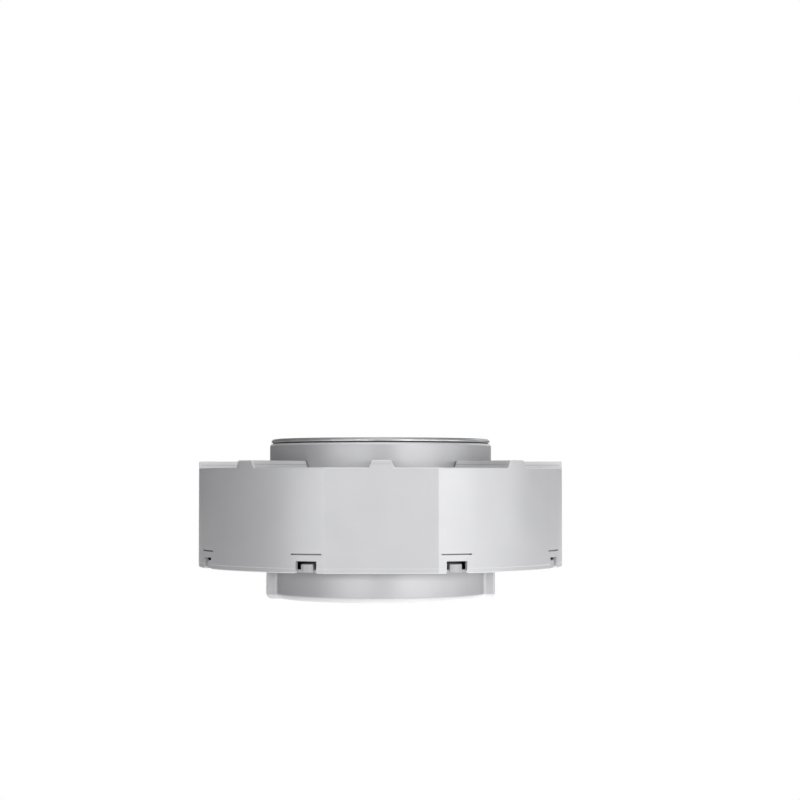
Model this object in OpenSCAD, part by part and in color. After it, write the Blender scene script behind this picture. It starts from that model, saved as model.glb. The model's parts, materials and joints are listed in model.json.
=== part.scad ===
// Scanning range sensor module: a spinning optical head inside a ring shell on a small round base.
// Units are millimetres. +Z is up, the origin is the centre of the base's underside, and the
// shell's one flat faces -Y.

/* [Base] */
// Radius of the round base
base_r = 21.9; // [21.6:0.1:22.4]
// Height of the base wall, up to the chassis plate
base_h = 7.2; // [7.1:0.1:7.3]
// Thickness of the base wall
base_wall = 1.5; // [1.4:0.1:1.6]
// Thickness of the base floor
base_floor = 1.6; // [1.5:0.1:1.8]
// Chamfer round the bottom edge
base_chamfer = 0.9; // [0.4:0.1:1.2]
// Reach of each side lug from the axis
lug_reach = 23.3; // [22.8:0.1:24]
// Half width of each side lug
lug_half = 6.4; // [6:0.1:7]
// Pitch circle of the four mounting holes
mount_pcd = 34; // [33.6:0.2:34.4]
// Radius of a mounting hole
mount_hole_r = 1.25; // [1:0.05:1.5]
// Depth of a mounting hole
mount_hole_depth = 5; // [4:0.1:5.2]
// Radius of the boss round a mounting hole
mount_boss_r = 2.6; // [2.4:0.1:2.7]

/* [Outer shell] */
// Radius of the shell
shell_r = 37.5; // [37.4:0.1:38]
// Thickness of the shell wall
shell_wall = 0.8; // [0.7:0.05:0.85]
// Height of the shell's bottom edge
shell_z0 = 6.5; // [6.3:0.1:6.5]
// Height of the rim
rim_z = 26.6; // [26.4:0.1:27]
// Distance of the flat from the axis
flat_y = 35.9; // [35.8:0.1:36.4]
// Height of the deck between the spokes
deck_z = 25.7; // [25.5:0.1:25.9]
// Thickness of the deck
deck_t = 1; // [0.8:0.1:1.2]
// Radius of the opening for the drum
opening_r = 23.2; // [23.1:0.05:23.4]
// Height of the spoke tops
spoke_top_z = 28; // [27.5:0.1:28.5]
// Width of a spoke along its top
spoke_top_w = 3.9; // [3.4:0.1:4.4]
// Width of a spoke where it meets the rim
spoke_rim_w = 5.1; // [4.6:0.1:5.6]
// Width of a hook slot
slot_w = 4.3; // [4:0.1:5]
// Height of the top of a hook slot
slot_top_z = 8.8; // [8.7:0.1:9]
// Length of the fine slit above each hook slot
slit_len = 6.2; // [5:0.1:7]
// Height of the fine slit
slit_z = 10; // [9.8:0.1:10.4]

/* [Snap ring] */
// Inner radius of the snap ring
snap_in_r = 33.5; // [33.4:0.1:34]
// Outer radius of the snap ring
snap_out_r = 36.6; // [36.5:0.02:36.64]
// Height of the snap ring's underside
snap_z0 = 6.6; // [6.6:0.05:6.7]
// Width of a hook
hook_w = 2.5; // [2.2:0.1:3.2]
// Height of a hook's top
hook_top_z = 8.25; // [8:0.05:8.5]
// Reach of a hook into its slot, from the axis
hook_reach = 37.3; // [36.8:0.05:37.4]

/* [Chassis] */
// Radius of the chassis plate
chassis_r = 34.9; // [34.7:0.1:35]
// Thickness of the chassis plate
chassis_t = 1.4; // [1.4:0.05:1.45]
// Thickness of a circuit board
board_t = 0.8; // [0.7:0.05:0.9]
// Height of a board's standing posts
board_post_h = 1; // [0.9:0.05:1.05]

/* [Bearings] */
// Inner radius of a bearing
bearing_in_r = 2.5; // [2.4:0.05:2.55]
// Outer radius of a bearing
bearing_out_r = 5.5; // [5.45:0.05:5.6]
// Width of a bearing
bearing_w = 2.8; // [2.6:0.1:2.8]
// Gap between the two bearings
bearing_gap = 0.4; // [0.3:0.1:0.4]
// Radius of a ball
ball_r = 0.85; // [0.8:0.05:0.85]
// Balls in each bearing
balls = 9; // [7:1:9]
// Radius of the bore through the shaft
shaft_bore_r = 1; // [0.8:0.1:1.2]

/* [Ring motor] */
// Teeth of the stator
teeth = 24; // [18:6:24]
// Magnets of the rotor
magnets = 28; // [20:4:28]
// Inner radius of the stator, at the tooth tips
stator_in_r = 26.4; // [26.3:0.1:26.6]
// Outer radius of the stator
stator_out_r = 34.4; // [34.3:0.05:34.4]
// Height of the stator's underside
stator_z = 15; // [14.9:0.1:15.2]
// Height of the stator stack
stator_h = 5; // [4.6:0.1:5.2]
// Width of a stator tooth
tooth_w = 2.4; // [2.2:0.1:2.6]
// Outer radius of the rotor yoke
yoke_r = 24.4; // [24.3:0.1:24.5]
// Thickness of a magnet
magnet_t = 1.5; // [1.3:0.1:1.6]

/* [Power coils] */
// Inner radius of a ferrite ring
ferrite_in_r = 12; // [11.6:0.1:12.4]
// Outer radius of a ferrite ring
ferrite_out_r = 19; // [18.6:0.1:19.2]
// Thickness of a ferrite ring
ferrite_t = 2; // [1.8:0.05:2]
// Gap between the fixed and the turning ferrite
ferrite_gap = 0.4; // [0.35:0.05:0.6]

/* [Head drum] */
// Radius of the drum
drum_r = 22.9; // [22.8:0.05:22.9]
// Thickness of the drum wall
drum_wall = 1.2; // [1.1:0.05:1.25]
// Height of the drum's underside
drum_z0 = 15.6; // [15.6:0.05:15.7]
// Thickness of the drum floor
drum_floor = 1.2; // [1.1:0.05:1.2]
// Height of the drum's shoulder
drum_top = 31.6; // [31.5:0.1:31.7]
// Height of the optical bench's underside
bench_z = 20.4; // [20.3:0.1:20.4]
// Thickness of the optical bench
bench_t = 1.2; // [1.1:0.05:1.2]

/* [Cap] */
// Radius of the cap
cap_r = 22.6; // [22.4:0.1:22.8]
// Gap between the drum's shoulder and the cap, filled by the gasket
cap_gap = 0.25; // [0.2:0.05:0.3]
// Thickness of the cap's rim
cap_t = 0.75; // [0.75:0.05:0.9]
// Radius of the window glass
window_r = 19.4; // [18.8:0.1:19.6]
// Thickness of the window glass
window_t = 0.4; // [0.35:0.05:0.45]

/* [Optics] */
// Height of the optical axes
optic_z = 26.4; // [26.4:0.05:26.5]
// Radius of the receiver's barrel
receiver_r = 4.4; // [4.2:0.1:4.4]
// Sideways place of the receiver
receiver_x = -5; // [-5.2:0.1:-5]
// Radius of the laser's barrel
laser_r = 2.6; // [2.4:0.1:2.8]
// Sideways place of the laser
laser_x = 5.2; // [5:0.1:5.4]
// Depth of the barrels' front ends, measured back from the axis
barrel_y1 = -0.6; // [-1:0.1:-0.6]

/* [Scan mirror] */
// Width of a mirror facet
facet_w = 6.4; // [6:0.1:6.4]
// Length of the mirror prism
mirror_len = 18; // [17:0.5:18]
// Depth of the mirror's axis behind the head's axis
mirror_y = 5; // [5:0.1:5.4]
// Radius of the mirror shaft
mirror_shaft_r = 0.9; // [0.8:0.05:0.95]
// Outer radius of the mirror motor's bell
bell_r = 3.7; // [3.6:0.05:3.8]

/* [Screws] */
// Radius of a small screw's shank
screw_r = 0.8; // [0.7:0.05:0.8]
// Radius of a small screw's head
screw_head_r = 1.4; // [1.2:0.05:1.4]
// Height of a small screw's head
screw_head_h = 0.8; // [0.6:0.05:0.8]

/* [Hidden] */
$fn = 96;

// Overshoot of a cutting shape past the face that it opens
cut = 0.5;
// Clearance between a screw or pin and its hole
fit = 0.02;
// Clearance between two pieces that are slid together
slip = 0.1;

// Base and its board
base_in_r = base_r - base_wall;
board_ledge_h = 1;
board_ledge_w = 1;
main_board_z = base_floor + board_ledge_h;
main_board_top = main_board_z + board_t;
mount_r = mount_pcd / 2;
base_screw_r = 1;
base_screw_head_r = 1.9;
base_screw_pocket = 1.4;
base_post_r = 2.3;
base_post_at = [17.1, 5.6];
gasket_w = 0.7;
gasket_h = 0.4;
socket_half = 5.3;
socket_h = 3.1;
socket_y0 = 14.5;
socket_y1 = base_r - 0.2;
header_half = 4;
header_y0 = -19.7;
header_t = 1.8;

// Shell, spokes and hooks
hooks = 8;
hook_turn = 360 / hooks / 2;
spoke_pairs = 4;
spoke_slope = (spoke_rim_w - spoke_top_w) / 2 / (spoke_top_z - rim_z);
shoulder_r = 34.2;
shoulder_h = 1;
slit_h = 0.2;
slit_depth = 0.35;

// Chassis and the ring-shaped driver board
chassis_z = base_h;
chassis_top = chassis_z + chassis_t;
driver_z = chassis_top + board_post_h;
driver_top = driver_z + board_t;
driver_in_r = 20.4;
driver_out_r = 30.4;
driver_screw_at = 28.6;
driver_post_r = 1.5;
ring_screws = 6;
ring_screw_at = 32.5;
small_screw_len = 2.2;
head_screw_len = 1.8;

// Bearing housing
housing_disc_r = 19.4;
housing_disc_t = 2.6;
housing_tube_r = 6.9;
housing_screw_at = 10;
housing_screw_floor = 1.2;
housing_disc_top = chassis_top + housing_disc_t;
lower_bearing_z = chassis_top;
upper_bearing_z = lower_bearing_z + bearing_w + bearing_gap;
bearings_top = upper_bearing_z + bearing_w;
bearing_pitch_r = (bearing_in_r + bearing_out_r) / 2;
race_t = 0.85;
shaft_flange_r = 6.4;
hub_screw_at = 4.9;
shaft_z0 = chassis_z + 0.7;

// Ring motor
stator_top = stator_z + stator_h;
tooth_tip_t = 0.8;
stator_yoke_t = 2.5;
coil_side = 1.65;
coil_overhang = 1.4;
yoke_z0 = 14;
yoke_z1 = 21;
yoke_lip_r = 21.4;
encoder_ring_t = 0.7;

// Power coils
lower_ferrite_z = housing_disc_top;
upper_ferrite_z = lower_ferrite_z + ferrite_t + ferrite_gap;
ferrite_rim = 1.5;
ferrite_floor = 0.8;

// Head
drum_in_r = drum_r - drum_wall;
drum_floor_top = drum_z0 + drum_floor;
head_board_z = drum_floor_top + 1.2;
head_board_top = head_board_z + board_t;
bench_top = bench_z + bench_t;
bench_post_at = 18;
bench_post_angles = [30, 150, 270];
bench_post_r = 2;
ledge_r = drum_in_r - 1.1;
cap_z0 = drum_top + cap_gap;
cap_top = cap_z0 + cap_t;
cap_lip = 0.3;
window_z = cap_z0 + cap_lip;
spigot_r = drum_in_r - 0.05;
spigot_z = 28.6;

// Optics
barrel_wall = 0.6;
optic_board_y = -14;
optic_board_front = optic_board_y + board_t;

// Scan mirror
mirror_x0 = -9.5;
bracket_t = 1.2;
bracket_left_x = -12;
bracket_right_x = 9.6;
bush_r = 1.6;
bush_clearance = 0.03;
bell_x0 = 11;
bell_x1 = 13.9;
bell_wall = 0.4;
magnet_ring_t = 0.25;
mirror_stator_r = 2.9;
mirror_teeth = 9;

silver = [0.78, 0.78, 0.79];
dark_grey = [0.16, 0.16, 0.17];
steel = [0.62, 0.63, 0.65];
copper = [0.78, 0.45, 0.22];
board_green = [0.07, 0.3, 0.18];
chip_black = [0.08, 0.08, 0.09];
brass = [0.8, 0.66, 0.36];

// A tube standing on z = 0
module tube(r_in, r_out, h) {
    difference() {
        cylinder(r = r_out, h = h);
        translate([0, 0, -cut]) cylinder(r = r_in, h = h + 2 * cut);
    }
}

// Moves its children to a radius and an angle
module polar(r, angle) {
    rotate([0, 0, angle]) translate([r, 0, 0]) children();
}

// Repeats its children at equal angles
module ring_of(n, r, start = 0) {
    for (k = [0 : n - 1]) polar(r, start + k * 360 / n) children();
}

// Turns a shape that stands on +Z so that it lies along +X
module along_x() {
    rotate([0, 90, 0]) children();
}

// Turns a shape that stands on +Z so that it lies along +Y
module along_y() {
    rotate([-90, 0, 0]) children();
}

// A screw with its head standing on z = 0, its shank below and a hexagon socket in the head
module screw(r, head_r, head_h, length) {
    difference() {
        union() {
            cylinder(r = head_r, h = head_h);
            translate([0, 0, -length]) cylinder(r = r, h = length + head_h / 4);
        }
        translate([0, 0, head_h * 0.45]) cylinder(r = head_r * 0.55, h = head_h, $fn = 6);
    }
}

module small_screw(length) {
    screw(screw_r, screw_head_r, screw_head_h, length);
}

// A disc between two heights with one flat towards -Y
module flatted_disc(r, flat, z0, z1) {
    intersection() {
        translate([0, 0, z0]) cylinder(r = r, h = z1 - z0, $fn = 180);
        translate([-2 * r, -flat, z0 - cut]) cube([4 * r, flat + 2 * r, z1 - z0 + 2 * cut]);
    }
}

// A block given by its two corners
module block(low, high) {
    translate(low) cube(high - low);
}

// ---- Base ----

// Four places, one in each quarter
module quarters(at) {
    for (sx = [-1, 1], sy = [-1, 1]) translate([sx * at[0], sy * at[1], 0]) children();
}

module mount_places() {
    ring_of(4, mount_r, 45) children();
}

module base_housing() {
    color(silver) difference() {
        union() {
            rotate_extrude() polygon([
                [0, 0], [base_r - base_chamfer, 0], [base_r, base_chamfer], [base_r, base_h],
                [base_in_r, base_h], [base_in_r, main_board_z],
                [base_in_r - board_ledge_w, main_board_z], [base_in_r - board_ledge_w, base_floor],
                [0, base_floor]
            ]);
            difference() {
                block([-lug_reach, -lug_half, 0], [lug_reach, lug_half, base_h]);
                translate([0, 0, -cut]) cylinder(r = base_r - base_wall / 2, h = base_h + 2 * cut);
            }
            mount_places() cylinder(r = mount_boss_r, h = mount_hole_depth + 0.6);
            quarters(base_post_at) cylinder(r = base_post_r, h = base_h);
        }
        mount_places() translate([0, 0, -cut]) cylinder(r = mount_hole_r, h = mount_hole_depth + cut);
        quarters(base_post_at) {
            translate([0, 0, -cut]) cylinder(r = base_screw_head_r + slip, h = base_screw_pocket + cut);
            cylinder(r = base_screw_r + fit, h = base_h + cut);
        }
        block([-socket_half - slip, socket_y0, main_board_top],
              [socket_half + slip, base_r + cut, main_board_top + socket_h + slip]);
        translate([0, 0, base_h - gasket_h])
            tube(base_in_r + gasket_w / 2, base_in_r + gasket_w * 1.5, gasket_h + cut);
    }
}

module base_gasket() {
    color(chip_black) translate([0, 0, base_h - gasket_h])
        tube(base_in_r + gasket_w / 2 + fit, base_in_r + gasket_w * 1.5 - fit, gasket_h);
}

module base_screws() {
    shank = chassis_top - 0.4 - base_screw_pocket;
    color(steel) quarters(base_post_at) translate([0, 0, base_screw_pocket]) mirror([0, 0, 1])
        screw(base_screw_r, base_screw_head_r, base_screw_pocket - 0.1, shank);
}

module main_pcb() {
    color(board_green) translate([0, 0, main_board_z]) difference() {
        cylinder(r = base_in_r - slip, h = board_t);
        mount_places() translate([0, 0, -cut]) cylinder(r = mount_boss_r + slip, h = board_t + 2 * cut);
        quarters(base_post_at) translate([0, 0, -cut])
            cylinder(r = base_post_r + slip, h = board_t + 2 * cut);
    }
}

module main_board_chips() {
    top = main_board_top;
    color(chip_black) {
        // Processor, network chip and memory
        block([-4.5, -6, top], [4.5, 3, top + 1.2]);
        block([6.5, -3, top], [11.5, 2, top + 0.9]);
        block([-12.5, -3.5, top], [-7, 3.5, top + 1]);
        // Power inductor and capacitors
        block([-4, -14.5, top], [1, -9.5, top + 2.4]);
        for (x = [3.5, 6.5]) translate([x, -12, top]) cylinder(r = 1.2, h = 2.6);
        // Light receiver of the data link, under the hollow shaft
        translate([0, 6.5, top]) cylinder(r = 1.6, h = 1.4);
    }
}

module socket_shell() {
    z0 = main_board_top;
    color([0.86, 0.84, 0.78]) difference() {
        block([-socket_half, socket_y0, z0], [socket_half, socket_y1, z0 + socket_h]);
        block([-socket_half + 0.7, socket_y0 + 1.8, z0 + 0.6],
              [socket_half - 0.7, socket_y1 + cut, z0 + socket_h - 0.6]);
    }
}

module socket_pins() {
    pins = 8;
    pitch = 1.1;
    z0 = main_board_top + socket_h / 2;
    color(brass) for (k = [0 : pins - 1]) {
        x = (k - (pins - 1) / 2) * pitch;
        block([x - 0.18, socket_y0 + 1.8, z0 - 0.18], [x + 0.18, socket_y1 - 1, z0 + 0.18]);
    }
}

module link_header() {
    color(dark_grey) block([-header_half, header_y0, main_board_top],
                           [header_half, header_y0 + header_t, driver_z]);
}

// ---- Shell and chassis ----

module spoke_bars() {
    reach = shell_r + 2;
    z_low = deck_z - cut;
    z_high = spoke_top_z + 2 * cut;
    half_low = spoke_rim_w / 2 + (rim_z - z_low) * spoke_slope;
    half_high = spoke_rim_w / 2 + (rim_z - z_high) * spoke_slope;
    for (k = [0 : spoke_pairs - 1]) rotate([0, 0, k * 180 / spoke_pairs]) translate([-reach, 0, 0])
        rotate([90, 0, 90]) linear_extrude(height = 2 * reach) polygon([
            [-half_low, z_low], [half_low, z_low], [half_high, z_high], [-half_high, z_high]
        ]);
}

module outer_shell() {
    inner_r = shell_r - shell_wall;
    inner_flat = flat_y - shell_wall;
    color(silver) difference() {
        union() {
            difference() {
                flatted_disc(shell_r, flat_y, shell_z0, spoke_top_z);
                flatted_disc(inner_r, inner_flat, shell_z0 - cut, deck_z - deck_t);
                difference() {
                    union() {
                        translate([0, 0, rim_z])
                            cylinder(r = shell_r + 1, h = 2 * cut + spoke_top_z - rim_z);
                        flatted_disc(inner_r, inner_flat, deck_z, spoke_top_z + cut);
                    }
                    spoke_bars();
                }
            }
            difference() {
                flatted_disc(inner_r + shell_wall / 2, inner_flat + shell_wall / 2,
                             chassis_top, chassis_top + shoulder_h);
                translate([0, 0, chassis_top - cut]) cylinder(r = shoulder_r, h = shoulder_h + 2 * cut);
            }
        }
        translate([0, 0, deck_z - deck_t - cut]) cylinder(r = opening_r, h = 2 * shell_wall + 4);
        ring_of(hooks, shoulder_r + 0.8, hook_turn)
            block([0, -slot_w / 2, shell_z0 - cut], [shell_r, slot_w / 2, slot_top_z]);
        intersection() {
            translate([0, 0, slit_z]) tube(shell_r - slit_depth, shell_r + 1, slit_h);
            ring_of(hooks, shoulder_r, hook_turn)
                block([0, -slit_len / 2, slit_z - cut], [shell_r, slit_len / 2, slit_z + cut]);
        }
    }
}

module snap_ring() {
    hook_depth = hook_reach - chassis_r - slip;
    bevel = 0.35;
    color([0.6, 0.6, 0.62]) difference() {
        translate([0, 0, snap_z0]) union() {
            tube(snap_in_r, snap_out_r, chassis_z - snap_z0);
            ring_of(hooks, hook_reach, hook_turn) rotate([0, 0, 90])
                linear_extrude(height = hook_top_z - snap_z0) polygon([
                    [-hook_w / 2, bevel], [-hook_w / 4, 0], [hook_w / 4, 0], [hook_w / 2, bevel],
                    [hook_w / 2, hook_depth], [-hook_w / 2, hook_depth]
                ]);
        }
        flat_side_cut();
    }
}

// Everything beyond the inside of the shell's flat
module flat_side_cut() {
    block([-shell_r, -2 * shell_r, 0], [shell_r, -(flat_y - shell_wall - slip), hook_top_z + 2 * cut]);
}

module chassis_plate() {
    color(dark_grey) difference() {
        union() {
            translate([0, 0, chassis_z]) cylinder(r = chassis_r, h = chassis_t);
            translate([0, 0, chassis_top]) ring_of(4, driver_screw_at, 45)
                cylinder(r = driver_post_r, h = board_post_h);
        }
        translate([0, 0, chassis_z - cut]) cylinder(r = bearing_out_r - 0.9, h = chassis_t + 2 * cut);
        block([-header_half - 0.4, header_y0 - 0.4, chassis_z - cut],
              [header_half + 0.4, header_y0 + header_t + 0.4, chassis_top + cut]);
        translate([0, 0, chassis_z - cut]) quarters(base_post_at)
            cylinder(r = base_screw_r + fit, h = chassis_t + cut - 0.3);
        translate([0, 0, chassis_z + 0.3]) ring_of(4, housing_screw_at, 45)
            cylinder(r = screw_r + fit, h = chassis_t);
        translate([0, 0, chassis_z + 0.7]) ring_of(4, driver_screw_at, 45)
            cylinder(r = screw_r + fit, h = chassis_t + board_post_h);
        translate([0, 0, chassis_z - cut]) ring_of(ring_screws, ring_screw_at) {
            cylinder(r = screw_head_r + slip, h = screw_head_h + cut);
            cylinder(r = screw_r + fit, h = chassis_t + 2 * cut);
        }
    }
}

module dust_seal() {
    color(chip_black) translate([0, 0, deck_z - deck_t - 1]) tube(opening_r - 0.15, opening_r + 2.4, 1);
}

module chassis_screws() {
    color(steel) {
        translate([0, 0, chassis_top + housing_screw_floor]) ring_of(4, housing_screw_at, 45)
            small_screw(small_screw_len);
        translate([0, 0, driver_top]) ring_of(4, driver_screw_at, 45) small_screw(small_screw_len);
        translate([0, 0, chassis_z + screw_head_h]) ring_of(ring_screws, ring_screw_at)
            mirror([0, 0, 1]) small_screw(small_screw_len);
    }
}

// ---- Ring motor, fixed side ----

module motor_mount_ring() {
    collar_out = stator_out_r + 0.5;
    wall_in = 32.4;
    wall_out = shoulder_r - 0.2;
    color([0.5, 0.5, 0.52]) difference() {
        rotate_extrude() polygon([
            [ring_screw_at - 1.5, chassis_top], [wall_out, chassis_top], [wall_out, stator_z - 2.5],
            [collar_out, stator_z - 1.5], [collar_out, stator_z + 2], [stator_out_r + 0.05, stator_z + 2],
            [stator_out_r + 0.05, stator_z], [wall_in, stator_z], [wall_in, chassis_top + 1.2],
            [ring_screw_at - 1.5, chassis_top + 1.2]
        ]);
        translate([0, 0, chassis_top - cut]) ring_of(ring_screws, ring_screw_at)
            cylinder(r = screw_r + fit, h = small_screw_len + cut);
    }
}

module stator_core() {
    tip_r = stator_in_r + tooth_tip_t;
    slot_r = stator_out_r - stator_yoke_t;
    opening_half = 0.6;
    pitch_half = 180 / teeth;
    inner_half = tip_r * tan(pitch_half) - tooth_w / 2 / cos(pitch_half);
    outer_half = slot_r * tan(pitch_half) - tooth_w / 2 / cos(pitch_half);
    color([0.34, 0.35, 0.38]) translate([0, 0, stator_z]) difference() {
        tube(stator_in_r, stator_out_r, stator_h);
        // The winding slots between the teeth, each with its narrow mouth
        ring_of(teeth, 0, pitch_half) translate([0, 0, -cut]) linear_extrude(height = stator_h + 2 * cut)
            polygon([
                [stator_in_r - cut, -opening_half], [tip_r, -opening_half], [tip_r, -inner_half],
                [slot_r, -outer_half], [slot_r, outer_half], [tip_r, inner_half],
                [tip_r, opening_half], [stator_in_r - cut, opening_half]
            ]);
    }
}

module stator_coils() {
    x0 = stator_in_r + tooth_tip_t + 0.3;
    x1 = stator_out_r - stator_yoke_t - 0.4;
    half = tooth_w / 2 + coil_side;
    color(copper) ring_of(teeth, 0) difference() {
        block([x0, -half, stator_z - coil_overhang], [x1, half, stator_top + coil_overhang]);
        block([x0 - cut, -tooth_w / 2 - fit, stator_z - fit],
              [x1 + cut, tooth_w / 2 + fit, stator_top + fit]);
    }
}

// ---- Driver board ----

module driver_pcb() {
    color(board_green) translate([0, 0, driver_z]) difference() {
        union() {
            tube(driver_in_r, driver_out_r, board_t);
            block([-header_half - 0.6, -driver_in_r - 1.5, 0],
                  [header_half + 0.6, header_y0 + header_t + 0.3, board_t]);
        }
        translate([0, 0, -cut]) ring_of(4, driver_screw_at, 45)
            cylinder(r = screw_r + 0.05, h = board_t + 2 * cut);
    }
}

module driver_board_chips() {
    color(chip_black) translate([0, 0, driver_top]) {
        // Six motor switches, three on each side
        for (side = [0, 180], k = [-1 : 1]) polar(26.5, side + k * 12)
            block([-1.6, -1.4, 0], [1.6, 1.4, 0.9]);
        // Gate driver and motor controller
        polar(26, 90) block([-2.2, -2.2, 0], [2.2, 2.2, 0.9]);
        polar(26, 270) block([-2, -3, 0], [2, 3, 1]);
    }
}

module encoder_reader() {
    color(chip_black) translate([0, 0, driver_top]) polar(22.9, 64)
        block([-1.5, -1.5, 0], [1.5, 1.5, yoke_z0 - encoder_ring_t - 0.5 - driver_top]);
}

// ---- Central bearings ----

module bearing_housing() {
    color(silver) difference() {
        union() {
            translate([0, 0, chassis_top]) cylinder(r = housing_disc_r, h = housing_disc_t);
            translate([0, 0, chassis_top]) cylinder(r = housing_tube_r, h = bearings_top - chassis_top);
        }
        translate([0, 0, lower_bearing_z - cut]) cylinder(r = bearing_out_r, h = bearing_w + cut);
        translate([0, 0, lower_bearing_z]) cylinder(r = bearing_out_r - 0.6, h = bearings_top);
        translate([0, 0, upper_bearing_z]) cylinder(r = bearing_out_r, h = bearing_w + cut);
        translate([0, 0, chassis_top]) ring_of(4, housing_screw_at, 45) {
            translate([0, 0, -cut]) cylinder(r = screw_r + fit, h = housing_disc_t + cut);
            translate([0, 0, housing_screw_floor]) cylinder(r = screw_head_r + slip, h = housing_disc_t);
        }
        block([-header_half - 1.2, -housing_disc_r - 1, chassis_top - cut],
              [header_half + 1.2, header_y0 + header_t + 0.6, housing_disc_top + cut]);
    }
}

// Repeats its children at both bearings' mid heights
module both_bearings() {
    for (z = [lower_bearing_z, upper_bearing_z]) translate([0, 0, z + bearing_w / 2]) children();
}

module ball_track() {
    rotate_extrude() translate([bearing_pitch_r, 0]) circle(r = ball_r + fit, $fn = 48);
}

module bearing_outer_races() {
    color(steel) both_bearings() difference() {
        translate([0, 0, -bearing_w / 2]) tube(bearing_out_r - race_t, bearing_out_r, bearing_w);
        ball_track();
    }
}

module bearing_inner_races() {
    color(steel) both_bearings() difference() {
        translate([0, 0, -bearing_w / 2]) tube(bearing_in_r, bearing_in_r + race_t, bearing_w);
        ball_track();
    }
}

module bearing_balls() {
    color(steel) both_bearings() ring_of(balls, bearing_pitch_r) sphere(r = ball_r, $fn = 32);
}

module bearing_cages() {
    color(brass) both_bearings() difference() {
        translate([0, 0, -1.1]) tube(bearing_pitch_r - 0.3, bearing_pitch_r + 0.3, 2.2);
        ring_of(balls, 0) along_x() cylinder(r = ball_r + 0.05, h = bearing_out_r);
    }
}

module hub_shaft() {
    shoulder_r = bearing_in_r + race_t;
    flange_z = bearings_top + 0.3;
    color(steel) difference() {
        rotate_extrude() polygon([
            [shaft_bore_r, shaft_z0], [bearing_in_r, shaft_z0], [bearing_in_r, bearings_top],
            [shoulder_r, bearings_top], [shoulder_r, flange_z], [shaft_flange_r, flange_z],
            [shaft_flange_r, drum_z0], [shaft_bore_r, drum_z0]
        ]);
        translate([0, 0, flange_z + 0.05]) ring_of(4, hub_screw_at, 45)
            cylinder(r = screw_r + fit, h = drum_z0);
        translate([0, 0, shaft_z0 + 0.3]) tube(bearing_in_r - 0.4, bearing_in_r + cut, 0.4);
    }
}

module shaft_clip() {
    color(steel) translate([0, 0, shaft_z0 + 0.3 + fit]) difference() {
        tube(bearing_in_r - 0.4 + fit, bearing_in_r + 0.9, 0.4 - 2 * fit);
        block([0, -1.2, -cut], [bearing_out_r, 1.2, 1]);
    }
}

// ---- Power transfer ----

// A flat ferrite ring with an open groove towards +Z
module ferrite() {
    rotate_extrude() polygon([
        [ferrite_in_r, 0], [ferrite_out_r, 0], [ferrite_out_r, ferrite_t],
        [ferrite_out_r - ferrite_rim, ferrite_t], [ferrite_out_r - ferrite_rim, ferrite_floor],
        [ferrite_in_r + ferrite_rim, ferrite_floor], [ferrite_in_r + ferrite_rim, ferrite_t],
        [ferrite_in_r, ferrite_t]
    ]);
}

module flat_coil() {
    translate([0, 0, ferrite_floor])
        tube(ferrite_in_r + ferrite_rim + slip, ferrite_out_r - ferrite_rim - slip,
             ferrite_t - ferrite_floor - slip);
}

module upper_side() {
    translate([0, 0, upper_ferrite_z + ferrite_t]) mirror([0, 0, 1]) children();
}

module lower_ferrite() {
    color(dark_grey) translate([0, 0, lower_ferrite_z]) ferrite();
}

module lower_coil() {
    color(copper) translate([0, 0, lower_ferrite_z]) flat_coil();
}

module upper_ferrite() {
    color(dark_grey) upper_side() ferrite();
}

module upper_coil() {
    color(copper) upper_side() flat_coil();
}

// ---- Drum and rotor ----

module bench_posts() {
    for (angle = bench_post_angles) polar(bench_post_at, angle) children();
}

module drum_housing() {
    edge = 0.4;
    color(silver) difference() {
        union() {
            rotate_extrude() polygon([
                [0, drum_z0], [drum_r, drum_z0], [drum_r, drum_top - edge], [drum_r - edge, drum_top],
                [drum_in_r, drum_top], [drum_in_r, bench_z], [ledge_r, bench_z],
                [ledge_r, drum_floor_top], [0, drum_floor_top]
            ]);
            bench_posts() {
                translate([0, 0, drum_z0 + 0.4])
                    cylinder(r = bench_post_r + 0.8, h = head_board_z - drum_z0 - 0.4);
                translate([0, 0, drum_z0 + 0.4]) cylinder(r = bench_post_r, h = bench_z - drum_z0 - 0.4);
            }
        }
        translate([0, 0, drum_z0 - cut]) cylinder(r = shaft_bore_r + 0.5, h = drum_floor + 2 * cut);
        translate([0, 0, drum_z0 - cut]) ring_of(4, hub_screw_at, 45)
            cylinder(r = screw_r + fit, h = drum_floor + 2 * cut);
        bench_posts() translate([0, 0, head_board_z]) cylinder(r = screw_r + fit, h = bench_z);
    }
}

module rotor_yoke() {
    color([0.4, 0.41, 0.44]) rotate_extrude() polygon([
        [yoke_lip_r, yoke_z0], [yoke_r, yoke_z0], [yoke_r, yoke_z1], [drum_r, yoke_z1],
        [drum_r, drum_z0], [yoke_lip_r, drum_z0]
    ]);
}

module rotor_magnets() {
    span = 360 / magnets * 0.86;
    color([0.7, 0.71, 0.73]) translate([0, 0, stator_z + 0.2]) ring_of(magnets, 0)
        rotate_extrude(angle = span) translate([yoke_r + fit, 0]) square([magnet_t, stator_h - 0.4]);
}

module encoder_ring() {
    color(chip_black) translate([0, 0, yoke_z0 - encoder_ring_t])
        tube(yoke_lip_r, yoke_r, encoder_ring_t);
}

module head_screws() {
    color(steel) {
        translate([0, 0, drum_floor_top]) ring_of(4, hub_screw_at, 45) small_screw(head_screw_len);
        translate([0, 0, bench_top]) bench_posts() small_screw(head_screw_len);
        bracket_screw_places() small_screw(head_screw_len);
    }
}

module head_pcb() {
    color(board_green) translate([0, 0, head_board_z]) difference() {
        cylinder(r = ledge_r - slip, h = board_t);
        bench_posts() translate([0, 0, -cut]) cylinder(r = bench_post_r + slip, h = board_t + 2 * cut);
    }
}

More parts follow.
